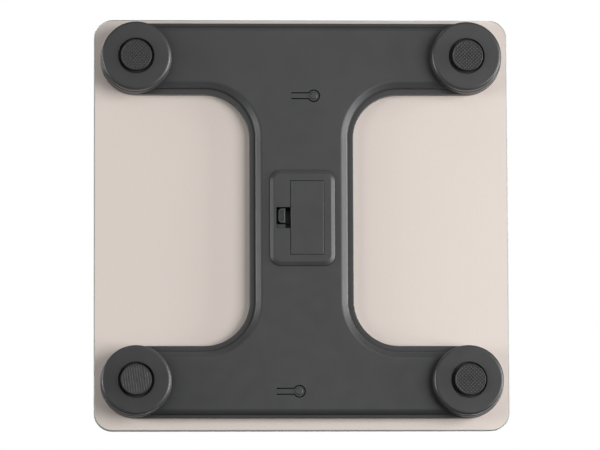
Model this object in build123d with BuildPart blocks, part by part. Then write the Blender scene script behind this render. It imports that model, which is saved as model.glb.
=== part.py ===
from build123d import *

import os

os.makedirs("parts", exist_ok=True)

# ---------------------------------------------------------------------------
# Frame: millimetres, +Z up, the feet stand on z = 0, the display end is +Y.
# Corners are named for a person who stands on the scale: toe is +Y, left is -X.
# ---------------------------------------------------------------------------

# Platform
glass_side = 300
glass_corner = 13.5
glass_thickness = 5
glass_bevel = 0.6
film_thickness = 0.2
film_margin = 0.8
tape_thickness = 0.5

# Levels, from the floor up
pod_face_z = 3
pod_base_z = 10.5
pod_floor_top_z = 12.5
pad_face_z = 11
housing_face_z = 13.1
floor_top_z = 15.1
ledge_z = 17.4
ledge_top_z = 19.4
rim_z = 23.8
film_z = rim_z + tape_thickness
glass_z = film_z + film_thickness

# Housing plan: two flanges joined by a web
pod_x = 119.4
toe_y = 120.3
heel_y = -115.1
pod_base_r = 26
pod_top_r = 25.6
pod_wall = 1.6
web_half = 37.6
bay_corner_r = 32.5
wall = 2.2
rim_width = 3
rim_edge_r = 0.5
inner_ledge = 4.0
outer_ledge = 2.4
inner_run = 4.6
outer_run = 2.3
shoulder_drop = 2.4
shoulder_blend = 3.5
foot_blend = 2.2
seam_edge = 0.3

# Battery pad, compartment and door
pad_size = (47, 69.5)
pad_centre = (-0.6, 3.3)
pad_corner = 7.5
pad_run = 2.8
pad_drop = 1.3
pad_blend = 1.6
pad_foot_blend = 0.9
bay_x = (-16.2, 8.3)
bay_y = (-23.65, 30.45)
bay_ledge = 0.9
bay_wall = 1.3
bay_ceiling_z = 23.2
door_gap = {"hinge": 0.2, "latch": 0.45, "ends": 0.4}
door_thickness = 1.5
door_edge_r = 0.6
door_bevel = 0.2
hinge_x = bay_x[0] + door_gap["hinge"] + door_edge_r
hinge_z = pad_face_z + 0.7
hinge_pin_r = 0.35
hinge_pin_length = 1.3
hinge_play = 0.1

# Door latch
notch_x = 18.4
notch_y = (-4.4, 11.0)
notch_top_z = 20.2
shelf_x = 11.8
shelf_y = -1.5
shelf_depth = 1.1
latch_x = (12.0, 17.0)
latch_y = (-0.6, 10.4)
latch_depth = 0.8
thumb_thickness = 1.6
thumb_corner_r = 2.6
thumb_edge_r = 0.5
thumb_dish = (2.4, 7.4)
thumb_dish_depth = 0.4
latch_leg = 1.4
latch_drop = 6.6
clip_leg = 1.2
clip_floor = 1.0
clip_gap = 0.3

# Press tongues
tongue_head_r = 3.75
knob_r = 2.6
knob_height = 0.7
tongue_neck = 3.4
tongue_reach = 16.3
tongue_slit = 0.85
tongue_root_gap = 0.12
tongue_thickness = 1.8
tongues = {"unit_button": (-9.1, 92.6), "reset_button": (2.1, -122.4)}

# Feet
foot_r = 11.05
foot_hole_r = 12.85
foot_play = {"toe_left": -0.65, "heel_left": -0.85}
foot_pad_thickness = 2.2
plunger_shoulder_z = 6.1
plunger_flange = 1.5
plunger_flange_r = 13.4
flange_clearance = 1.2
plunger_stem_r = 5
cell_z = 15.6
cell_thickness = 1.6
cell_side = 32
cell_slot = 2.5
cell_tongue = (15, 19)
stem_gap = 0.1
gauge_size = (10, 6)
gauge_thickness = 0.7
holder_r = 22.8
holder_bore_r = 12.5
holder_lid = 2
holder_channel = 5
cap_r = 25.2
cap_plate = 2.5
cap_wall = 2.2
cap_shoulder_r = 2.1
collar_r = 16
collar_play = 0.15
mouth_edge_r = 0.4

# Boards and display
board_z = 17.4
board_thickness = 1.6
board_top_z = board_z + board_thickness
board_size = (76, 48)
board_centre = (0, 114)
display_centre = (0, 118)
display_window = (56, 24)
display_size = (60, 29)
button_board_size = (28, 22)
switch_side = 4.5
switch_body = 0.9
switch_stem = 0.4
chip_centre = (12, 112)
chip_r = 4.5
chip_height = 1.2
screw_shank_r = 0.95
screw_head_r = 1.9
screw_head = 1.2
screw_slot = 0.5
post_r = 2.6
screw_spots = [(x, y) for x in (-34.8, 34.8) for y in (93.5, 134.0)]
button_screw_spots = [(-9.0, -115.0), (12.4, -129.8)]

# Batteries (AAA) and leads
cell_r = 5.25
cell_length = 43.5
nub_length = 1.0
cell_centre_z = 17.85
battery_x = (-9.8, 1.0)
strip = 0.4
wire_r = 0.5
wire_pitch = 1.1
wire_z = board_top_z + wire_r + 0.05

corners = {
    "toe_left": (-pod_x, toe_y),
    "toe_right": (pod_x, toe_y),
    "heel_left": (-pod_x, heel_y),
    "heel_right": (pod_x, heel_y),
}


def save(piece, name):
    """Label a finished piece and write it to its own file."""
    piece.part.label = name
    export_step(piece.part, f"parts/{name}.step")


def span(low, high):
    """Centre and length of a stretch."""
    return (low + high) / 2, high - low


def housing_plan(inner_inset, outer_inset, square_ends=False):
    """I-shaped plan, pulled in from the two bays and from the outer long edges."""
    flange = 2 * pod_base_r - inner_inset - outer_inset
    shift = (outer_inset - inner_inset) / 2
    with BuildSketch() as plan:
        for y, side in ((toe_y, -1), (heel_y, 1)):
            with Locations((0, y + side * shift)):
                if square_ends:
                    Rectangle(2 * pod_x + 8, flange)
                else:
                    SlotOverall(2 * pod_x + flange, flange)
        y_mid, y_length = span(heel_y, toe_y)
        with Locations((0, y_mid)):
            Rectangle(2 * (web_half - inner_inset), y_length)
        elbows = [v for v in plan.vertices() if abs(abs(v.X) - web_half + inner_inset) < 0.01]
        fillet(elbows, bay_corner_r + inner_inset)
    return plan.sketch


def edges_at(form, height):
    return form.edges().filter_by_position(Axis.Z, height - 0.01, height + 0.01)


def shoulder_form(inset, bottom_z, height, blend=0):
    """Raised middle of the housing, with sloping shoulders along its long edges."""
    with BuildPart() as form:
        with BuildSketch(Plane.XY.offset(bottom_z)):
            add(housing_plan(inner_ledge + inset, outer_ledge + inset, square_ends=True))
        extrude(amount=height)
        outer_y = (toe_y + pod_base_r - outer_ledge - inset, heel_y - pod_base_r + outer_ledge + inset)
        face = form.faces().sort_by(Axis.Z)[0]
        long_edges = [e for e in face.edges() if abs((e @ 0.5).X) < pod_x]
        inner = [e for e in long_edges if min(abs((e @ 0.5).Y - y) for y in outer_y) > 0.01]
        chamfer(inner, length=inner_run, length2=shoulder_drop, reference=face)
        face = form.faces().sort_by(Axis.Z)[0]
        outer = [e for e in face.edges() if min(abs((e @ 0.5).Y - y) for y in outer_y) < 0.01]
        chamfer(outer, length=outer_run, length2=shoulder_drop, reference=face)
        if blend:
            face = form.faces().sort_by(Axis.Z)[0]
            fillet([e for e in face.edges() if abs((e @ 0.5).X) < pod_x], blend)
            wall_top = edges_at(form, bottom_z + shoulder_drop)
            fillet([e for e in wall_top if abs((e @ 0.5).X) < pod_x], foot_blend)
    return form.part


def box_between(x, y, z, mode=Mode.ADD):
    """A block given by its low and high corners."""
    (cx, lx), (cy, ly), (cz, lz) = span(*x), span(*y), span(*z)
    with Locations((cx, cy, cz)):
        Box(lx, ly, lz, mode=mode)


def round_plate(spot, radius, low_z, high_z, mode=Mode.ADD):
    """An upright disc between two heights."""
    with BuildSketch(Plane.XY.offset(low_z)) as disc:
        with Locations(spot):
            Circle(radius)
    extrude(disc.sketch, amount=high_z - low_z, mode=mode)


# ---------------------------------------------------------------------------
# Platform
# ---------------------------------------------------------------------------

with BuildPart() as glass_platform:
    with BuildSketch(Plane.XY.offset(glass_z)):
        RectangleRounded(glass_side, glass_side, glass_corner)
    extrude(amount=glass_thickness)
    flat = glass_platform.faces().filter_by(Axis.Z)
    chamfer(flat.edges(), glass_bevel)
save(glass_platform, "glass_platform")

with BuildPart() as printed_film:
    with BuildSketch(Plane.XY.offset(film_z)):
        film_side = glass_side - 2 * film_margin
        RectangleRounded(film_side, film_side, glass_corner - film_margin)
        with Locations(display_centre):
            Rectangle(*display_window, mode=Mode.SUBTRACT)
    extrude(amount=film_thickness)
save(printed_film, "printed_film")

with BuildPart() as mounting_tape:
    with BuildSketch(Plane.XY.offset(rim_z)):
        add(housing_plan(0.4, 0.4))
        add(housing_plan(rim_width - 0.4, rim_width - 0.4), mode=Mode.SUBTRACT)
    extrude(amount=tape_thickness)
save(mounting_tape, "mounting_tape")

# ---------------------------------------------------------------------------
# Base housing
# ---------------------------------------------------------------------------


def tongue_plan(head, margin):
    """Keyhole plan of a press tongue: a round head on a straight neck, grown by a margin."""
    x, y = head
    root = x + tongue_reach
    neck_x, neck_length = span(x, root)
    with BuildSketch() as plan:
        with Locations(head):
            Circle(tongue_head_r + margin)
        with Locations((neck_x, y)):
            Rectangle(neck_length, tongue_neck + 2 * margin)
    return plan.sketch


def lowest_face_near(piece, spot):
    """The lowest level face of a piece whose middle is over a spot."""
    level = piece.faces().filter_by(Axis.Z)
    near = level.filter_by(lambda f: (f.center() - Vector(*spot, f.center().Z)).length < 5)
    return near.sort_by(Axis.Z)[0]


outer_form = shoulder_form(0, housing_face_z, ledge_z - housing_face_z, shoulder_blend)
inner_form = shoulder_form(wall, floor_top_z, rim_z - floor_top_z)

door_x = (bay_x[0] + door_gap["hinge"], bay_x[1] - door_gap["latch"])
door_y = (bay_y[0] + door_gap["ends"], bay_y[1] - door_gap["ends"])
hinge_length = door_y[1] - door_y[0] + 2 * hinge_pin_length

with BuildPart() as base_housing:
    # Outer skin: flat ledge, raised middle, four pod bases and the battery pad
    with BuildSketch(Plane.XY.offset(ledge_z)):
        add(housing_plan(0, 0))
    extrude(amount=rim_z - ledge_z)
    fillet(base_housing.faces().sort_by(Axis.Z)[0].edges(), rim_edge_r)
    add(outer_form)
    for spot in corners.values():
        with BuildSketch(Plane.XY.offset(rim_z)):
            with Locations(spot):
                Circle(pod_base_r)
        with BuildSketch(Plane.XY.offset(pod_base_z)):
            with Locations(spot):
                Circle(pod_top_r)
        loft()
    fillet(base_housing.edges().group_by(Axis.Z)[0], seam_edge)
    with BuildSketch(Plane.XY.offset(pad_face_z)):
        with Locations(pad_centre):
            RectangleRounded(*pad_size, pad_corner)
    extrude(amount=housing_face_z - pad_face_z)
    pad_face = lowest_face_near(base_housing, pad_centre)
    chamfer(pad_face.edges(), length=pad_run, length2=pad_drop, reference=pad_face)
    fillet(lowest_face_near(base_housing, pad_centre).edges(), pad_blend)
    fillet(edges_at(base_housing, pad_face_z + pad_drop), pad_foot_blend)

    # Hollow inside, open towards the glass
    with BuildSketch(Plane.XY.offset(ledge_top_z)):
        add(housing_plan(rim_width, rim_width))
    extrude(amount=rim_z - ledge_top_z, mode=Mode.SUBTRACT)
    add(inner_form, mode=Mode.SUBTRACT)
    for spot in corners.values():
        round_plate(spot, pod_top_r - pod_wall, pod_floor_top_z, rim_z, mode=Mode.SUBTRACT)
        round_plate(spot, collar_r + collar_play, pod_base_z, pod_floor_top_z, mode=Mode.SUBTRACT)
    with BuildSketch(Plane.XY.offset(housing_face_z)):
        with Locations(pad_centre):
            RectangleRounded(pad_size[0] - 8, pad_size[1] - 8, pad_corner - 4)
    extrude(amount=floor_top_z - housing_face_z, mode=Mode.SUBTRACT)

    # Load cell seats, board posts, walls of the battery and latch pockets
    for spot in corners.values():
        with BuildSketch(Plane.XY.offset(pod_floor_top_z)):
            with Locations(spot):
                Circle(pod_top_r - pod_wall)
                Circle(collar_r + 1.4, mode=Mode.SUBTRACT)
        extrude(amount=cell_z - pod_floor_top_z)
    for spot in screw_spots + button_screw_spots:
        round_plate(spot, post_r, floor_top_z, board_z)
    box_between(
        (bay_x[0] - bay_wall, bay_x[1] - bay_ledge + bay_wall),
        (bay_y[0] - bay_wall, bay_y[1] + bay_wall),
        (housing_face_z, rim_z),
    )
    box_between(
        (bay_x[1] - bay_ledge, notch_x + bay_wall),
        (notch_y[0] - bay_wall, notch_y[1] + bay_wall),
        (housing_face_z, notch_top_z + bay_wall),
    )

    # Battery compartment, door recess and latch notch
    box_between((bay_x[0], bay_x[1] - bay_ledge), bay_y, (pad_face_z, bay_ceiling_z), Mode.SUBTRACT)
    box_between(bay_x, bay_y, (pad_face_z, pad_face_z + door_thickness + 0.1), Mode.SUBTRACT)
    notch_open_x = bay_x[1] - bay_ledge - 1
    box_between((notch_open_x, notch_x), notch_y, (pad_face_z, notch_top_z), Mode.SUBTRACT)
    box_between((shelf_x, notch_x), (notch_y[0], shelf_y), (pad_face_z + shelf_depth, notch_top_z))
    with Locations(Location((hinge_x, span(*bay_y)[0], hinge_z), (90, 0, 0))):
        Cylinder(hinge_pin_r + hinge_play, hinge_length + 2 * hinge_play, mode=Mode.SUBTRACT)

    # Slits around the press tongues, screw holes and slots for the battery terminals
    for head in tongues.values():
        with BuildSketch(Plane.XY.offset(housing_face_z)):
            add(tongue_plan(head, tongue_slit))
        extrude(amount=floor_top_z - housing_face_z, mode=Mode.SUBTRACT)
    for spot in screw_spots + button_screw_spots:
        round_plate(spot, screw_shank_r + 0.05, floor_top_z - 0.9, board_z, mode=Mode.SUBTRACT)
    for x in battery_x:
        slot_z = (board_top_z - strip - 0.15, board_top_z + 0.15)
        box_between((x - 1.65, x + 1.65), (bay_y[1], bay_y[1] + bay_wall), slot_z, Mode.SUBTRACT)
save(base_housing, "base_housing")

# ---------------------------------------------------------------------------
# Pods: cap, load cell, strain gauge, holder, plunger and rubber pad
# ---------------------------------------------------------------------------


def pod_cap(spot):
    """Round cover with a stepped hole that keeps the foot captive."""
    plate_top_z = pod_face_z + cap_plate
    bore_r = plunger_flange_r + flange_clearance
    with BuildPart() as cap:
        round_plate(spot, cap_r, pod_face_z, pod_base_z)
        fillet(cap.edges().sort_by(Axis.Z)[0], cap_shoulder_r)
        chamfer(cap.edges().sort_by(Axis.Z)[-1], seam_edge)
        round_plate(spot, cap_r - cap_wall, plate_top_z, pod_base_z, mode=Mode.SUBTRACT)
        round_plate(spot, collar_r, plate_top_z, pod_floor_top_z - collar_play)
        round_plate(spot, bore_r, plate_top_z, pod_floor_top_z, mode=Mode.SUBTRACT)
        round_plate(spot, foot_hole_r, pod_face_z, plate_top_z, mode=Mode.SUBTRACT)
        mouth = cap.edges().group_by(Axis.Z)[0].sort_by(SortBy.RADIUS)[0]
        fillet(mouth, mouth_edge_r)
    return cap


def load_cell(spot):
    """Square spring-steel plate with a tongue freed by a U-shaped slot."""
    width, length = cell_tongue
    with BuildPart() as cell:
        with BuildSketch(Plane.XY.offset(cell_z)):
            with Locations(spot):
                RectangleRounded(cell_side, cell_side, 3)
            with Locations((spot[0], spot[1] - cell_slot / 2)):
                Rectangle(width + 2 * cell_slot, length + cell_slot, mode=Mode.SUBTRACT)
            with Locations(spot):
                Rectangle(width, length)
        extrude(amount=cell_thickness)
    return cell


def strain_gauge(spot):
    """Potted gauge patch on the tongue."""
    with BuildPart() as gauge:
        with BuildSketch(Plane.XY.offset(cell_z + cell_thickness)):
            with Locations((spot[0], spot[1] + 2)):
                RectangleRounded(*gauge_size, 1.5)
        extrude(amount=gauge_thickness)
        fillet(gauge.faces().sort_by(Axis.Z)[-1].edges(), gauge_thickness / 2)
    return gauge


def cell_holder(spot):
    """Plastic ring that carries the glass on the rim of the load cell."""
    x, y = spot
    inward = -1 if x > 0 else 1
    exit_x = sorted((x, x + inward * (holder_r + 1)))
    exit_y = (y - holder_channel / 2, y + holder_channel / 2)
    cell_top_z = cell_z + cell_thickness
    with BuildPart() as holder:
        round_plate(spot, holder_r, cell_top_z, film_z)
        round_plate(spot, holder_bore_r, cell_top_z, film_z - holder_lid, mode=Mode.SUBTRACT)
        box_between(exit_x, exit_y, (cell_top_z, film_z - holder_lid / 2), Mode.SUBTRACT)
    return holder


def foot_plunger(spot):
    """Rigid foot that pushes the load cell's tongue."""
    flange_top = plunger_shoulder_z + plunger_flange
    with BuildPart() as plunger:
        round_plate(spot, foot_r, foot_pad_thickness, plunger_shoulder_z)
        round_plate(spot, plunger_flange_r, plunger_shoulder_z, flange_top)
        round_plate(spot, plunger_stem_r, flange_top, cell_z - stem_gap)
        chamfer(plunger.faces().sort_by(Axis.Z)[-1].edges(), 0.8)
    return plunger


def foot_pad(spot):
    """Rubber sole of a foot."""
    with BuildPart() as pad:
        round_plate(spot, foot_r, 0, foot_pad_thickness)
        chamfer(pad.faces().sort_by(Axis.Z)[0].edges(), 0.5)
    return pad


fixed_pod_pieces = {
    "pod_cap": pod_cap,
    "load_cell": load_cell,
    "strain_gauge": strain_gauge,
    "cell_holder": cell_holder,
}
for corner, spot in corners.items():
    for kind, make in fixed_pod_pieces.items():
        save(make(spot), f"{kind}_{corner}")
    # Two of the feet have settled a little to one side of their holes
    foot_spot = (spot[0] + foot_play.get(corner, 0), spot[1])
    save(foot_plunger(foot_spot), f"foot_plunger_{corner}")
    save(foot_pad(foot_spot), f"foot_pad_{corner}")

# ---------------------------------------------------------------------------
# Battery door, its latch and the press tongues
# ---------------------------------------------------------------------------

door_z = (pad_face_z, pad_face_z + door_thickness)
thumb_z = (pad_face_z + latch_depth, pad_face_z + latch_depth + thumb_thickness)
clip_bottom_z = thumb_z[0] + latch_drop
clip_z = (clip_bottom_z + clip_gap, clip_bottom_z + clip_gap + clip_floor)

with BuildPart() as battery_door:
    box_between(door_x, door_y, door_z)
    rim = battery_door.faces().sort_by(Axis.Z)[0].edges()
    hinge_edge = rim.sort_by(Axis.X)[0]
    fillet(hinge_edge, door_edge_r)
    latch_edge = battery_door.edges().filter_by(Axis.Y).group_by(Axis.Z)[0].sort_by(Axis.X)[-1]
    chamfer(latch_edge, door_bevel)
    # Inner leg and bottom of the U-shaped spring clip
    clip_y = (latch_y[0] + 0.4, latch_y[1] - 0.4)
    box_between((door_x[1] - clip_leg, door_x[1]), clip_y, (door_z[1], clip_z[1]))
    box_between((door_x[1] - clip_leg, latch_x[0] + latch_leg), clip_y, clip_z)
    # Hinge pins at both ends of the hinge edge
    with Locations(Location((hinge_x, span(*door_y)[0], hinge_z), (90, 0, 0))):
        Cylinder(hinge_pin_r, hinge_length)
save(battery_door, "battery_door")

with BuildPart() as door_latch:
    box_between(latch_x, latch_y, thumb_z)
    thumb_corners = door_latch.edges().filter_by(Axis.Z).group_by(Axis.X)[-1]
    fillet(thumb_corners, thumb_corner_r)
    thumb_rim = door_latch.faces().sort_by(Axis.Z)[0].edges()
    fillet(thumb_rim, thumb_edge_r)
    with BuildSketch(Plane.XY.offset(thumb_z[0])):
        with Locations((sum(latch_x) / 2, sum(latch_y) / 2)):
            RectangleRounded(*thumb_dish, thumb_dish[0] / 2 - 0.1)
    extrude(amount=thumb_dish_depth, mode=Mode.SUBTRACT)
    box_between((latch_x[0], latch_x[0] + latch_leg), latch_y, (thumb_z[0] + 0.6, clip_bottom_z))
save(door_latch, "door_latch")

for name, head in tongues.items():
    with BuildPart() as tongue:
        with BuildSketch(Plane.XY.offset(housing_face_z)):
            add(tongue_plan(head, 0))
            root_x = head[0] + tongue_reach
            with Locations((root_x, head[1])):
                Rectangle(2 * tongue_root_gap, 2 * tongue_neck, mode=Mode.SUBTRACT)
        extrude(amount=tongue_thickness)
        round_plate(head, knob_r, housing_face_z - knob_height, housing_face_z)
        fillet(tongue.faces().sort_by(Axis.Z)[0].edges(), knob_height - 0.1)
    save(tongue, name)

# ---------------------------------------------------------------------------
# Boards, display and screws
# ---------------------------------------------------------------------------


def board(size, centre, screws):
    """Circuit board with its screw holes."""
    with BuildPart() as plate:
        with BuildSketch(Plane.XY.offset(board_z)):
            with Locations(centre):
                RectangleRounded(*size, 1.5)
            with Locations(*screws):
                Circle(1.25, mode=Mode.SUBTRACT)
        extrude(amount=board_thickness)
    return plate


def tact_switch(spot):
    """Tact switch that hangs below a board, over a press tongue."""
    with BuildPart() as switch:
        with BuildSketch(Plane.XY.offset(board_z - switch_body)):
            with Locations(spot):
                RectangleRounded(switch_side, switch_side, 0.4)
        extrude(amount=switch_body)
        round_plate(spot, switch_side / 4, board_z - switch_body - switch_stem, board_z - switch_body)
    return switch


save(board(board_size, board_centre, screw_spots), "main_board")
button_board_centre = (tongues["reset_button"][0], tongues["reset_button"][1])
save(board(button_board_size, button_board_centre, button_screw_spots), "button_board")
save(tact_switch(tongues["unit_button"]), "unit_switch")
save(tact_switch(tongues["reset_button"]), "reset_switch")

with BuildPart() as controller_chip:
    round_plate(chip_centre, chip_r, board_z - chip_height, board_z)
    fillet(controller_chip.faces().sort_by(Axis.Z)[0].edges(), chip_height - 0.2)
save(controller_chip, "controller_chip")

panel_z = board_top_z + 2.95

with BuildPart() as lcd_frame:
    with BuildSketch(Plane.XY.offset(board_top_z)):
        with Locations(display_centre):
            RectangleRounded(display_size[0] + 3.4, display_size[1] + 3.4, 1.2)
            Rectangle(display_size[0] - 3, display_size[1] - 2.6, mode=Mode.SUBTRACT)
    extrude(amount=film_z - 0.1 - board_top_z)
    with BuildSketch(Plane.XY.offset(panel_z)):
        with Locations(display_centre):
            Rectangle(display_size[0] + 0.4, display_size[1] + 0.4)
    extrude(amount=film_z - panel_z, mode=Mode.SUBTRACT)
save(lcd_frame, "lcd_frame")

with BuildPart() as lcd_panel:
    with BuildSketch(Plane.XY.offset(panel_z)):
        with Locations(display_centre):
            Rectangle(*display_size)
    extrude(amount=2.2)
save(lcd_panel, "lcd_panel")

with BuildPart() as zebra_strip:
    strip_y = display_centre[1] - display_size[1] / 2 + 2.6
    box_between((-27, 27), (strip_y - 0.9, strip_y + 0.9), (board_top_z, panel_z))
save(zebra_strip, "zebra_strip")

with BuildPart() as board_screws:
    for spot in screw_spots + button_screw_spots:
        round_plate(spot, screw_shank_r, floor_top_z - 0.7, board_top_z)
        round_plate(spot, screw_head_r, board_top_z, board_top_z + screw_head)
        with BuildSketch(Plane.XY.offset(board_top_z + screw_head / 2)) as cross:
            with Locations(spot):
                Rectangle(screw_head_r, screw_slot)
                Rectangle(screw_slot, screw_head_r)
        extrude(cross.sketch, amount=screw_head / 2, mode=Mode.SUBTRACT)
save(board_screws, "board_screws")

# ---------------------------------------------------------------------------
# Batteries and their contacts
# ---------------------------------------------------------------------------

gap = 0.1
plate_toe_y = (bay_y[1] - gap - strip, bay_y[1] - gap)
plate_heel_y = (bay_y[0] + gap, bay_y[0] + gap + strip)
toe_tip_y = plate_toe_y[0] - 0.05
heel_tip_y = plate_heel_y[1] + 0.05


def battery(x, tip_y, direction):
    """AAA cell along Y, with its nub towards the given direction."""
    with BuildPart() as cell:
        with BuildSketch(Plane.XZ.offset(-tip_y + direction * nub_length)):
            with Locations((x, cell_centre_z)):
                Circle(cell_r)
        extrude(amount=direction * cell_length)
        fillet(cell.edges().filter_by(GeomType.CIRCLE), 0.6)
        with BuildSketch(Plane.XZ.offset(-tip_y)):
            with Locations((x, cell_centre_z)):
                Circle(1.9)
        extrude(amount=direction * (nub_length + 0.2))
    return cell


def leaf(x, base_y, tip_y):
    """Bent spring leaf between a contact plate and the flat end of a cell."""
    reach = tip_y - base_y
    with BuildSketch(Plane.YZ.offset(x - 2.5)) as profile:
        with BuildLine():
            Polyline(
                (base_y, cell_centre_z + 3.8),
                (tip_y, cell_centre_z),
                (base_y + 0.35 * reach, cell_centre_z - 3.6),
            )
        trace(line_width=strip)
    extrude(profile.sketch, amount=5)


save(battery(battery_x[0], toe_tip_y, 1), "battery_1")
save(battery(battery_x[1], heel_tip_y, -1), "battery_2")

plate_z = (cell_centre_z - 4.5, cell_centre_z + 4.5)
tab_z = (board_top_z - strip, board_top_z)
toe_flat_y = heel_tip_y + nub_length + cell_length
heel_flat_y = toe_tip_y - nub_length - cell_length

with BuildPart() as battery_terminal_positive:
    x = battery_x[0]
    box_between((x - 4.5, x + 4.5), plate_toe_y, plate_z)
    box_between((x - 1.5, x + 1.5), (plate_toe_y[0], bay_y[1] + bay_wall + 3), tab_z)
save(battery_terminal_positive, "battery_terminal_positive")

with BuildPart() as battery_terminal_negative:
    x = battery_x[1]
    box_between((x - 4.5, x + 4.5), plate_toe_y, plate_z)
    box_between((x - 1.5, x + 1.5), (plate_toe_y[0], bay_y[1] + bay_wall + 3), tab_z)
    leaf(x, plate_toe_y[0], toe_flat_y + strip)
save(battery_terminal_negative, "battery_terminal_negative")

with BuildPart() as battery_link_plate:
    box_between((battery_x[0] - 4.5, battery_x[1] + 4.5), plate_heel_y, plate_z)
    leaf(battery_x[0], plate_heel_y[1], heel_flat_y - strip)
save(battery_link_plate, "battery_link_plate")

# ---------------------------------------------------------------------------
# Leads: straight runs joined by tangent arcs, in stacked single wires
# ---------------------------------------------------------------------------


def wires(route, bend_r, count):
    """A few wires stacked one above the other along one flat route."""
    with BuildPart() as run:
        for i in range(count):
            z = wire_z + i * wire_pitch
            with BuildLine() as path:
                FilletPolyline(*[(x, y, z) for x, y in route], radius=bend_r)
            with BuildSketch(Plane(origin=path.line @ 0, z_dir=path.line % 0)):
                Circle(wire_r)
            sweep(path=path.line)
    return run


def mirrored(route, side):
    return [(side * x, y) for x, y in route]


toe_route = [(pod_x - 8, toe_y), (90, toe_y), (58, 116), (33.3, 116)]
heel_route = [(pod_x - 8, heel_y), (84, heel_y), (46, -106), (26, -84), (26, 62), (24.5, 96)]
for side, hand in ((-1, "left"), (1, "right")):
    save(wires(mirrored(toe_route, side), 20, 3), f"load_cell_lead_toe_{hand}")
    save(wires(mirrored(heel_route, side), 14, 3), f"load_cell_lead_heel_{hand}")

tab_end_y = bay_y[1] + bay_wall + 1
with BuildPart() as battery_leads:
    for x, board_x in ((battery_x[0], -7), (battery_x[1], 4)):
        route = [(x, tab_end_y), (x, 56), (board_x, 76), (board_x, 96)]
        add(wires(route, 20, 1).part)
save(battery_leads, "battery_leads")

button_route = [(9, heel_y - 3), (9, -104), (21.5, -82), (21.5, 60), (17, 80), (17, 96)]
save(wires(button_route, 14, 2), "button_leads")
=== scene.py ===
from math import cos, pi, radians, sin

import bmesh
import bpy
from mathutils import Matrix, Vector


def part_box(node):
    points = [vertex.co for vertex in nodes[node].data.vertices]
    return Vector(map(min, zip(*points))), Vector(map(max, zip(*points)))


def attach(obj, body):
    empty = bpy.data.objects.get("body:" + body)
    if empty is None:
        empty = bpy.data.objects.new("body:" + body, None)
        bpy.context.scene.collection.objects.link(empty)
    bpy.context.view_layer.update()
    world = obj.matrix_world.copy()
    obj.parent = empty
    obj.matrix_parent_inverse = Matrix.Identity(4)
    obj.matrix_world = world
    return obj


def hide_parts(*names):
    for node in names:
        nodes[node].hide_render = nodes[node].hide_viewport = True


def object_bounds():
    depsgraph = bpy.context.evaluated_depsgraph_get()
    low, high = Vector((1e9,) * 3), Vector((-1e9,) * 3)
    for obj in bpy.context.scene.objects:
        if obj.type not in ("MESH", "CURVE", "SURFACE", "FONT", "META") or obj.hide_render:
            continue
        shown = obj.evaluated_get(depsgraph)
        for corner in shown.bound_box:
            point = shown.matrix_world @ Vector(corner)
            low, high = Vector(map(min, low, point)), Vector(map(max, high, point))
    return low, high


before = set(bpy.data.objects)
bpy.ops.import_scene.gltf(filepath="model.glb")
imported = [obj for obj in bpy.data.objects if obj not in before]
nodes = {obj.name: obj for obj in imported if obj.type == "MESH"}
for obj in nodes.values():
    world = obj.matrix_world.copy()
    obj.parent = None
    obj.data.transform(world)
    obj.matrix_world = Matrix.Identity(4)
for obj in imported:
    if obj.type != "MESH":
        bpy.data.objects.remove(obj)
cad_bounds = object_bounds()
low, high = (Vector(corner) for corner in cad_bounds)
middle = (low + high) / 2
CORNERS = ("toe_left", "toe_right", "heel_left", "heel_right")
mm = 0.001


# ---------------------------------------------------------------------------
# Camera: below the scale, looking up at its underside almost square on
# ---------------------------------------------------------------------------

CAMERA_DISTANCE = 4.0
CAMERA_PITCH = radians(7.81)
CAMERA_YAW = radians(1.87)
CAMERA_ROLL = radians(-0.221)
CAMERA_LENS = 332.6
CAMERA_TARGET = middle + Vector((1.2, -1.6, 0)) * mm


def make_camera():
    data = bpy.data.cameras.new("camera")
    data.lens = CAMERA_LENS
    data.clip_end = 20
    camera = bpy.data.objects.new("camera", data)
    bpy.context.collection.objects.link(camera)
    level = cos(CAMERA_YAW)
    back = Vector((sin(CAMERA_YAW), -sin(CAMERA_PITCH) * level, -cos(CAMERA_PITCH) * level))
    right = back.cross(Vector((0, -1, 0))).normalized()
    turn = Matrix((right, back.cross(right), back)).transposed().to_4x4()
    place = Matrix.Translation(CAMERA_TARGET + back * CAMERA_DISTANCE)
    camera.matrix_world = place @ turn @ Matrix.Rotation(CAMERA_ROLL, 4, "Z")
    bpy.context.scene.camera = camera


# ---------------------------------------------------------------------------
# Light: a plain studio, with soft boxes below for the underside and above for the glass
# ---------------------------------------------------------------------------


def soft_box(name, place, size, power, aim):
    data = bpy.data.lights.new(name, "AREA")
    data.shape = "RECTANGLE"
    data.size, data.size_y = size
    data.energy = power
    lamp = bpy.data.objects.new(name, data)
    lamp.location = place
    lamp.rotation_euler = (Vector(aim) - Vector(place)).to_track_quat("-Z", "Y").to_euler()
    lamp.visible_camera = False
    bpy.context.collection.objects.link(lamp)


# Each soft box: where it stands, its width and height, and its power in watts
SOFT_BOXES = {
    "below_high": ((0.0, 1.0, -2.2), (1.6, 0.8), 4),
    "side_right_low": ((-1.5, 0.0, -0.26), (1.0, 0.4), 24),
    "side_right_high": ((-1.25, 0.0, -1.4), (1.2, 1.4), 32),
    "side_left_low": ((1.5, 0.0, -0.26), (1.0, 0.4), 8),
    "side_left": ((1.5, 0.0, -0.8), (0.6, 1.2), 11),
    "toe_side": ((0.0, 1.6, -0.5), (1.6, 0.5), 2.5),
    "above_key": ((-0.9, -0.8, 1.9), (1.4, 1.4), 34),
    "above_fill": ((1.2, 0.9, 1.6), (1.6, 1.6), 16),
}
AMBIENT = 0.08


def make_lights():
    for name, (place, size, power) in SOFT_BOXES.items():
        soft_box(name, place, size, power, middle)


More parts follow.
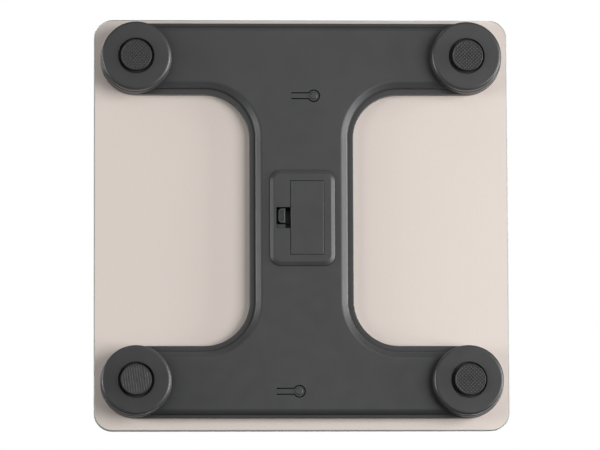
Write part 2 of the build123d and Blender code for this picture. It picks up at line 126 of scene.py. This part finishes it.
def make_world():
    """White behind the object, and a weaker grey as ambient light."""
    world = bpy.data.worlds.new("studio")
    bpy.context.scene.world = world
    world.use_nodes = True
    tree = world.node_tree
    ambient = tree.nodes["Background"]
    ambient.inputs["Color"].default_value = (0.9, 0.95, 1.0, 1)
    ambient.inputs["Strength"].default_value = AMBIENT
    backdrop = tree.nodes.new("ShaderNodeBackground")
    backdrop.inputs["Color"].default_value = (1, 1, 1, 1)
    path = tree.nodes.new("ShaderNodeLightPath")
    mix = tree.nodes.new("ShaderNodeMixShader")
    tree.links.new(path.outputs["Is Camera Ray"], mix.inputs["Fac"])
    tree.links.new(ambient.outputs["Background"], mix.inputs[1])
    tree.links.new(backdrop.outputs["Background"], mix.inputs[2])
    tree.links.new(mix.outputs["Shader"], tree.nodes["World Output"].inputs["Surface"])


# ---------------------------------------------------------------------------
# Node helpers
# ---------------------------------------------------------------------------


NOISE_LOW = 0.3
NOISE_HIGH = 0.7


class Surface:
    """A procedural material and the few nodes that every finish here is built from."""

    def __init__(self, name):
        self.material = bpy.data.materials.new(name)
        self.material.use_nodes = True
        self.tree = self.material.node_tree
        self.shader = self.tree.nodes["Principled BSDF"]
        self.place = self.tree.nodes.new("ShaderNodeTexCoord").outputs["Object"]

    def node(self, kind, **values):
        made = self.tree.nodes.new("ShaderNode" + kind)
        for key, value in values.items():
            setattr(made, key, value)
        return made

    def link(self, source, target):
        self.tree.links.new(source, target)

    def put(self, **values):
        for key, value in values.items():
            self.shader.inputs[key.replace("_", " ")].default_value = value

    def noise(self, scale, detail=3, rough=0.5, stretch=(1, 1, 1)):
        """Noise whose features are about 1 / scale metres across."""
        mapping = self.node("Mapping")
        mapping.inputs["Scale"].default_value = stretch
        self.link(self.place, mapping.inputs["Vector"])
        made = self.node("TexNoise")
        made.inputs["Scale"].default_value = scale
        made.inputs["Detail"].default_value = detail
        made.inputs["Roughness"].default_value = rough
        self.link(mapping.outputs["Vector"], made.inputs["Vector"])
        return made.outputs["Fac"]

    def ramp(self, factor, stops, interpolation="LINEAR"):
        """Colour ramp from (position, colour) pairs."""
        made = self.node("ValToRGB")
        made.color_ramp.interpolation = interpolation
        elements = made.color_ramp.elements
        while len(elements) < len(stops):
            elements.new(0.5)
        for element, (position, color) in zip(elements, stops):
            element.position = position
            element.color = (*color, 1) if len(color) == 3 else color
        self.link(factor, made.inputs["Fac"])
        return made.outputs["Color"]

    def two_tone(self, noise, first, second):
        """Colour that drifts between two tones with a noise."""
        return self.ramp(noise, [(NOISE_LOW, first), (NOISE_HIGH, second)])

    def spread(self, noise, least, most):
        """Number that drifts between two values with a noise."""
        made = self.node("MapRange")
        made.inputs["From Min"].default_value = NOISE_LOW
        made.inputs["From Max"].default_value = NOISE_HIGH
        made.inputs["To Min"].default_value = least
        made.inputs["To Max"].default_value = most
        self.link(noise, made.inputs["Value"])
        return made.outputs["Result"]

    def mix(self, factor, first, second):
        """Blends two colours; each is a socket or a plain colour."""
        made = self.node("Mix", data_type="RGBA")
        sockets = [s for s in made.inputs if s.type == "RGBA"]
        for value, socket in zip((first, second), sockets):
            if hasattr(value, "links"):
                self.link(value, socket)
            else:
                socket.default_value = (*value, 1)
        self.link(factor, made.inputs["Factor"])
        return [s for s in made.outputs if s.type == "RGBA"][0]

    def bump(self, height, strength, distance):
        made = self.node("Bump")
        made.inputs["Strength"].default_value = strength
        made.inputs["Distance"].default_value = distance
        self.link(height, made.inputs["Height"])
        return made.outputs["Normal"]

    def edge_mask(self, radius):
        """From 0 on open faces to 1 along edges, where a rounded normal leaves the true one."""
        bevel = self.node("Bevel", samples=4)
        bevel.inputs["Radius"].default_value = radius
        geometry = self.node("NewGeometry")
        dot = self.node("VectorMath", operation="DOT_PRODUCT")
        self.link(bevel.outputs["Normal"], dot.inputs[0])
        self.link(geometry.outputs["Normal"], dot.inputs[1])
        made = self.node("MapRange")
        made.inputs["From Min"].default_value = 0.995
        made.inputs["From Max"].default_value = 0.85
        self.link(dot.outputs["Value"], made.inputs["Value"])
        return made.outputs["Result"]

    def painted_shade_mask(self, reach):
        """Ambient occlusion, from 0 deep in gaps and inner corners to 1 on open faces; it sets where shade
        is painted.
        """
        made = self.node("AmbientOcclusion", samples=8)
        made.inputs["Distance"].default_value = reach
        level = self.node("MapRange")
        level.inputs["From Min"].default_value = 0.35
        level.inputs["From Max"].default_value = 0.95
        self.link(made.outputs["AO"], level.inputs["Value"])
        return level.outputs["Result"]

    def clear_where(self, factor, color=(1, 1, 1)):
        """Lets light straight through where a factor is 1."""
        clear = self.node("BsdfTransparent")
        clear.inputs["Color"].default_value = (*color, 1)
        through = self.node("MixShader")
        self.link(factor, through.inputs["Fac"])
        self.link(self.shader.outputs["BSDF"], through.inputs[1])
        self.link(clear.outputs["BSDF"], through.inputs[2])
        self.link(through.outputs["Shader"], self.tree.nodes["Material Output"].inputs["Surface"])


def shade(color, factor):
    return tuple(channel * factor for channel in color)


def moulded_plastic(name, color, roughness, grain=2600, relief=0.35, painted_edge_light=0.0, painted_shade_strength=0.0):
    """Moulded plastic: fine spark texture and faint flow mottling.

    The edge amount paints a highlight along the edges, or painted shade along them if it is negative. The
    crevice amount paints shade into gaps and inner corners.
    """
    s = Surface(name)
    tone = s.two_tone(s.noise(34, 4, 0.6), shade(color, 0.94), shade(color, 1.06))
    # Painted highlight along the edges where the amount is positive, painted shade along them where it is
    # negative
    if painted_edge_light:
        tone = s.mix(s.edge_mask(0.4 * mm), tone, shade(color, 1 + painted_edge_light))
    # Painted shade: darker in gaps, seams and inner corners
    if painted_shade_strength:
        tone = s.mix(s.painted_shade_mask(7 * mm), shade(color, 1 - painted_shade_strength), tone)
    s.link(tone, s.shader.inputs["Base Color"])
    s.link(s.spread(s.noise(90, 3), roughness - 0.03, roughness + 0.03), s.shader.inputs["Roughness"])
    s.link(s.bump(s.noise(grain, 2, 0.6), relief, 0.02 * mm), s.shader.inputs["Normal"])
    return s.material


def back_print():
    """Satin ink on the back of the glass: pale beige with a fine pearl speckle and faint handling marks."""
    s = Surface("back_print_ink")
    base = (0.635, 0.563, 0.515)
    speckle = s.ramp(s.noise(1500, 2, 0.7), [(0.35, shade(base, 0.975)), (0.65, shade(base, 1.025))])
    cloud = s.mix(s.spread(s.noise(12, 3), 0.0, 0.3), speckle, shade(base, 0.955))
    s.link(cloud, s.shader.inputs["Base Color"])
    scuffs = s.noise(60, 4, 0.6, (1, 9, 1))
    s.link(s.spread(scuffs, 0.46, 0.56), s.shader.inputs["Roughness"])
    s.link(s.bump(s.noise(1800, 2), 0.15, 0.01 * mm), s.shader.inputs["Normal"])
    s.put(IOR=1.45)
    return s.material


def platform_glass():
    """Float glass with a faint green body, clear on its faces and ground matt on its edges.

    Lamps shine straight through it, so that the print is lit from above too.
    """
    s = Surface("platform_glass_clear")
    geometry = s.node("NewGeometry")
    facing = s.node("SeparateXYZ")
    s.link(geometry.outputs["True Normal"], facing.inputs["Vector"])
    level = s.node("Math", operation="ABSOLUTE")
    s.link(facing.outputs["Z"], level.inputs[0])
    flat = s.node("MapRange")
    flat.inputs["From Min"].default_value = 0.95
    flat.inputs["From Max"].default_value = 0.99
    s.link(level.outputs["Value"], flat.inputs["Value"])
    face = flat.outputs["Result"]
    tint = s.two_tone(s.noise(6, 2), (0.93, 0.965, 0.945), (0.94, 0.975, 0.955))
    s.link(s.mix(face, (0.40, 0.42, 0.41), tint), s.shader.inputs["Base Color"])
    clearness = s.ramp(face, [(0, (0.3, 0.3, 0.3)), (1, (1, 1, 1))])
    s.link(clearness, s.shader.inputs["Transmission Weight"])
    smear = s.two_tone(s.noise(25, 4, 0.6, (1, 5, 1)), (0.02, 0.02, 0.02), (0.04, 0.04, 0.04))
    s.link(s.mix(face, (0.35, 0.35, 0.35), smear), s.shader.inputs["Roughness"])
    s.put(IOR=1.52)
    s.clear_where(s.node("LightPath").outputs["Is Shadow Ray"], (0.94, 0.96, 0.95))
    return s.material


def foot_rubber():
    """Matt rubber, dusted pale in patches, with painted shade deep in its grooves."""
    s = Surface("foot_rubber_matt")
    color = (0.019, 0.0187, 0.0184)
    dust = s.mix(s.spread(s.noise(260, 3, 0.6), 0.0, 0.35), color, (0.036, 0.035, 0.034))
    # Painted shade: much darker deep in the grooves of the sole
    tone = s.mix(s.painted_shade_mask(0.8 * mm), shade(color, 0.4), dust)
    s.link(tone, s.shader.inputs["Base Color"])
    s.link(s.spread(s.noise(300, 3), 0.5, 0.68), s.shader.inputs["Roughness"])
    s.link(s.bump(s.noise(3500, 2), 0.4, 0.02 * mm), s.shader.inputs["Normal"])
    return s.material


def metal(name, color, roughness):
    """Plated or rolled steel, brushed one way."""
    s = Surface(name)
    streak = s.noise(900, 4, 0.6, (1, 14, 1))
    s.link(s.two_tone(streak, shade(color, 0.88), color), s.shader.inputs["Base Color"])
    s.link(s.spread(streak, roughness - 0.08, roughness + 0.1), s.shader.inputs["Roughness"])
    s.link(s.bump(streak, 0.2, 0.01 * mm), s.shader.inputs["Normal"])
    s.put(Metallic=1.0)
    return s.material


def circuit_board():
    """Green solder mask over etched tracks."""
    s = Surface("board_laminate_green")
    tracks = s.node("TexBrick", offset=0.37)
    tracks.inputs["Scale"].default_value = 420
    tracks.inputs["Mortar Size"].default_value = 0.03
    tracks.inputs["Color1"].default_value = (0.006, 0.035, 0.016, 1)
    tracks.inputs["Color2"].default_value = (0.005, 0.03, 0.014, 1)
    tracks.inputs["Mortar"].default_value = (0.012, 0.06, 0.026, 1)
    s.link(s.place, tracks.inputs["Vector"])
    tone = s.mix(s.spread(s.noise(70, 3), 0.0, 0.35), tracks.outputs["Color"], (0.004, 0.024, 0.011))
    s.link(tone, s.shader.inputs["Base Color"])
    s.link(s.spread(s.noise(200, 2), 0.28, 0.38), s.shader.inputs["Roughness"])
    s.link(s.bump(tracks.outputs["Fac"], 0.3, 0.03 * mm), s.shader.inputs["Normal"])
    return s.material


def display_glass(name, color):
    """Grey-green liquid crystal behind its polariser."""
    s = Surface(name)
    sheen = s.two_tone(s.noise(45, 3), shade(color, 0.94), shade(color, 1.05))
    s.link(sheen, s.shader.inputs["Base Color"])
    s.link(s.spread(s.noise(160, 2), 0.16, 0.24), s.shader.inputs["Roughness"])
    s.link(s.bump(s.noise(4000, 1), 0.1, 0.005 * mm), s.shader.inputs["Normal"])
    return s.material


def striped(name, axis, pitch, first, second, roughness):
    """Two tones in stripes along one axis, as on a zebra strip or a stack of coloured wires."""
    s = Surface(name)
    split = s.node("SeparateXYZ")
    s.link(s.place, split.inputs["Vector"])
    cycle = s.node("Math", operation="PINGPONG")
    s.link(split.outputs[axis], cycle.inputs[0])
    cycle.inputs[1].default_value = pitch
    share = s.node("Math", operation="DIVIDE")
    s.link(cycle.outputs["Value"], share.inputs[0])
    share.inputs[1].default_value = pitch
    bands = s.ramp(share.outputs["Value"], [(0.0, first), (0.5, second)], "CONSTANT")
    tone = s.mix(s.spread(s.noise(300, 3), 0.0, 0.25), bands, shade(first, 0.7))
    s.link(tone, s.shader.inputs["Base Color"])
    s.link(s.spread(s.noise(500, 2), roughness - 0.05, roughness + 0.05), s.shader.inputs["Roughness"])
    s.link(s.bump(s.noise(1500, 2), 0.2, 0.01 * mm), s.shader.inputs["Normal"])
    return s.material


# ---------------------------------------------------------------------------
# Pieces made here
# ---------------------------------------------------------------------------

def new_piece(name, mesh, material):
    mesh.materials.append(material)
    piece = bpy.data.objects.new(name, mesh)
    bpy.context.collection.objects.link(piece)
    return piece


# Grooves of each sole, by the angles across them: a diamond knurl on three, straight ribs on one
KNURL_CUTS = {
    "toe_left": (45, 135),
    "toe_right": (45, 135),
    "heel_left": (45, 135),
    "heel_right": (-8,),
}
KNURL_PITCH = 1.8 * mm
KNURL_DEPTH = 0.4 * mm
KNURL_LAND = 1 / 3
KNURL_MARGIN = 0.6 * mm
SOLE_ROUND = 0.5 * mm
SOLE_ROUND_STEPS = 4
SOLE_RINGS = 40
SOLE_SPOKES = 216


def knurl(x, y, cuts):
    """Depth of the grooves at a point, from 0 on the lands to 1 in a groove."""
    depth = 0
    for angle in cuts:
        along = (x * cos(angle) + y * sin(angle)) / KNURL_PITCH
        to_groove = abs(along - round(along)) * 2
        depth = max(depth, 1 - min(1, to_groove / (1 - KNURL_LAND)))
    return depth


def knurled_sole(corner, material):
    """Rubber sole with a grooved face, a rolled rim and a straight wall."""
    sole_low, sole_high = (Vector(c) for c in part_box("foot_pad_" + corner))
    centre = (sole_low + sole_high) / 2
    radius = (sole_high.x - sole_low.x) / 2
    face_r = radius - SOLE_ROUND
    cuts = [radians(angle) for angle in KNURL_CUTS[corner]]
    profile = []
    for i in range(1, SOLE_RINGS + 1):
        profile.append((face_r * i / SOLE_RINGS, sole_low.z))
    for i in range(1, SOLE_ROUND_STEPS + 1):
        angle = pi / 2 * i / SOLE_ROUND_STEPS
        profile.append((face_r + SOLE_ROUND * sin(angle), sole_low.z + SOLE_ROUND * (1 - cos(angle))))
    profile.append((radius, sole_high.z))
    points = [(centre.x, centre.y, sole_low.z)]
    for r, z in profile:
        depth = KNURL_DEPTH * max(0, min(1, (face_r - r) / KNURL_MARGIN))
        for j in range(SOLE_SPOKES):
            angle = 2 * pi * j / SOLE_SPOKES
            x, y = r * cos(angle), r * sin(angle)
            points.append((centre.x + x, centre.y + y, z + depth * knurl(x, y, cuts)))
    points.append((centre.x, centre.y, sole_high.z))
    faces = []
    for j in range(SOLE_SPOKES):
        k = (j + 1) % SOLE_SPOKES
        faces.append((0, 1 + k, 1 + j))
        for i in range(len(profile) - 1):
            inner, outer = 1 + i * SOLE_SPOKES, 1 + (i + 1) * SOLE_SPOKES
            faces.append((inner + j, inner + k, outer + k, outer + j))
        last = 1 + (len(profile) - 1) * SOLE_SPOKES
        faces.append((last + j, last + k, len(points) - 1))
    mesh = bpy.data.meshes.new("sole_" + corner)
    mesh.from_pydata(points, [], faces)
    mesh.shade_smooth()
    sole = new_piece("sole_" + corner, mesh, material)
    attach(sole, "foot_" + corner)
    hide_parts("foot_pad_" + corner)


DIGITS = 4
DIGIT_SIZE = (7.8 * mm, 15.5 * mm)
DIGIT_PITCH = 11.4 * mm
DIGIT_SLANT = 0.12
SEGMENT_WIDTH = 1.9 * mm
SEGMENT_GAP = 0.22 * mm
SEGMENT_THICKNESS = 0.03 * mm
DOT_RADIUS = 0.62 * SEGMENT_WIDTH
DOT_STEPS = 20


def segment_outline(start, end):
    """Six-sided bar between two corners of a digit, with pointed ends."""
    along = (end - start).normalized()
    aside = Vector((-along.y, along.x))
    half = SEGMENT_WIDTH / 2
    first = start + along * SEGMENT_GAP
    last = end - along * SEGMENT_GAP
    return [
        first,
        first + (along - aside) * half,
        last + (-along - aside) * half,
        last,
        last + (-along + aside) * half,
        first + (along + aside) * half,
    ]


def dot_outline(centre):
    """Small round point after a digit."""
    angles = [2 * pi * k / DOT_STEPS for k in range(DOT_STEPS)]
    return [centre + Vector((cos(angle), sin(angle))) * DOT_RADIUS for angle in angles]


def digit_outlines(centre):
    """The seven bars of one digit, none of them lit."""
    half_x, half_y = DIGIT_SIZE[0] / 2, DIGIT_SIZE[1] / 2
    corner = {(i, j): centre + Vector((i * half_x, j * half_y)) for i in (-1, 1) for j in (-1, 0, 1)}
    level = [(corner[-1, j], corner[1, j]) for j in (-1, 0, 1)]
    upright = [(corner[i, j], corner[i, j + 1]) for i in (-1, 1) for j in (-1, 0)]
    return [segment_outline(start, end) for start, end in level + upright]


def lcd_segments(material):
    """Faint electrodes of the unlit digits, a hair above the display panel."""
    panel_low, panel_high = (Vector(c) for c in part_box("lcd_panel"))
    centre = (panel_low + panel_high) / 2
    outlines = []
    for k in range(DIGITS):
        spot = Vector(((k - (DIGITS - 1) / 2) * DIGIT_PITCH, 0))
        outlines += digit_outlines(spot)
        if k == DIGITS - 2:
            outlines.append(dot_outline(spot + Vector((DIGIT_PITCH / 2, -DIGIT_SIZE[1] / 2))))
    shape = bmesh.new()
    for outline in outlines:
        bottom, top = [], []
        for point in outline:
            x = centre.x + point.x + point.y * DIGIT_SLANT
            y = centre.y + point.y
            bottom.append(shape.verts.new((x, y, panel_high.z)))
            top.append(shape.verts.new((x, y, panel_high.z + SEGMENT_THICKNESS)))
        shape.faces.new(top)
        shape.faces.new(reversed(bottom))
        for k in range(len(outline)):
            j = (k + 1) % len(outline)
            shape.faces.new((bottom[k], bottom[j], top[j], top[k]))
    mesh = bpy.data.meshes.new("lcd_segments")
    shape.to_mesh(mesh)
    shape.free()
    segments = new_piece("lcd_segments", mesh, material)
    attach(segments, "platform")


FLOOR_HALF = 3
FLOOR_DROP = 0.3 * mm


def make_floor():
    """Pale floor just under the feet. It can't be seen from below and casts no shadow."""
    s = Surface("floor_pale")
    tone = s.two_tone(s.noise(3, 3), (0.80, 0.80, 0.79), (0.82, 0.82, 0.81))
    s.link(tone, s.shader.inputs["Base Color"])
    s.put(Roughness=0.8)
    s.clear_where(s.node("NewGeometry").outputs["Backfacing"])
    mesh = bpy.data.meshes.new("floor")
    signs = ((-1, -1), (1, -1), (1, 1), (-1, 1))
    mesh.from_pydata([(x * FLOOR_HALF, y * FLOOR_HALF, 0) for x, y in signs], [], [(0, 1, 2, 3)])
    floor = new_piece("floor", mesh, s.material)
    floor.location.z = low.z - FLOOR_DROP
    floor.visible_shadow = False
    floor.visible_diffuse = False
    floor.visible_glossy = False


def dress(material, *names):
    """Gives CAD nodes a finish."""
    for name in names:
        for slot in nodes[name].material_slots:
            slot.material = material


def at_corners(kind):
    return [f"{kind}_{corner}" for corner in CORNERS]


DISPLAY_GREY = (0.165, 0.185, 0.155)


def dress_frame():
    housing_grey = (0.042, 0.042, 0.0432)
    dress(platform_glass(), "glass_platform")
    dress(back_print(), "printed_film")
    dress(moulded_plastic("foam_tape_white", (0.75, 0.75, 0.73), 0.8, 900, 0.6), "mounting_tape")
    # Housing and pods: painted highlight along their edges and painted shade in their crevices
    shell = moulded_plastic("housing_plastic_grey", housing_grey, 0.4, painted_edge_light=0.25, painted_shade_strength=0.75)
    dress(shell, "base_housing", "unit_button", "reset_button")
    pod = moulded_plastic("pod_plastic_grey", shade(housing_grey, 0.95), 0.35, painted_edge_light=0.25, painted_shade_strength=0.75)
    dress(pod, *at_corners("pod_cap"))
    # Door: painted shade along its edges and in its crevices
    door = moulded_plastic("door_plastic_grey", housing_grey, 0.4, painted_edge_light=-0.6, painted_shade_strength=0.75)
    dress(door, "battery_door", "door_latch")
    dress(metal("cell_steel_plated", (0.62, 0.62, 0.63), 0.32), *at_corners("load_cell"))
    dress(moulded_plastic("gauge_potting_white", (0.8, 0.8, 0.77), 0.5, 800), *at_corners("strain_gauge"))
    dress(moulded_plastic("holder_plastic_black", (0.03, 0.03, 0.03), 0.5), *at_corners("cell_holder"))
    dress(moulded_plastic("foot_plastic_black", (0.02, 0.02, 0.021), 0.55), *at_corners("foot_plunger"))
    dress(circuit_board(), "main_board", "button_board")
    dress(moulded_plastic("chip_potting_black", (0.01, 0.01, 0.011), 0.25, 700), "controller_chip")
    dress(display_glass("display_glass_grey", DISPLAY_GREY), "lcd_panel")
    dress(moulded_plastic("display_frame_white", (0.72, 0.72, 0.70), 0.45), "lcd_frame")
    zebra = striped("zebra_rubber_striped", "X", 0.3 * mm, (0.75, 0.4, 0.45), (0.05, 0.05, 0.05), 0.6)
    dress(zebra, "zebra_strip")
    dress(moulded_plastic("switch_plastic_black", (0.02, 0.02, 0.02), 0.4), "unit_switch", "reset_switch")
    dress(metal("screw_steel_nickel", (0.6, 0.58, 0.55), 0.28), "board_screws")
    sleeve = striped("battery_sleeve_banded", "Y", 15 * mm, (0.09, 0.16, 0.25), (0.62, 0.62, 0.60), 0.3)
    dress(sleeve, "battery_1", "battery_2")
    contacts = ("battery_terminal_positive", "battery_terminal_negative", "battery_link_plate")
    dress(metal("contact_steel_nickel", (0.68, 0.67, 0.64), 0.25), *contacts)
    lead = striped("lead_insulation_coloured", "Z", 1.1 * mm, (0.45, 0.03, 0.02), (0.02, 0.02, 0.02), 0.45)
    dress(lead, *at_corners("load_cell_lead"), "battery_leads", "button_leads")


bpy.context.scene.view_settings.view_transform = "Standard"
make_camera()
make_world()
make_lights()
make_floor()
dress_frame()
lcd_segments(display_glass("display_segments_grey", shade(DISPLAY_GREY, 0.72)))
rubber = foot_rubber()
for corner in CORNERS:
    knurled_sole(corner, rubber)
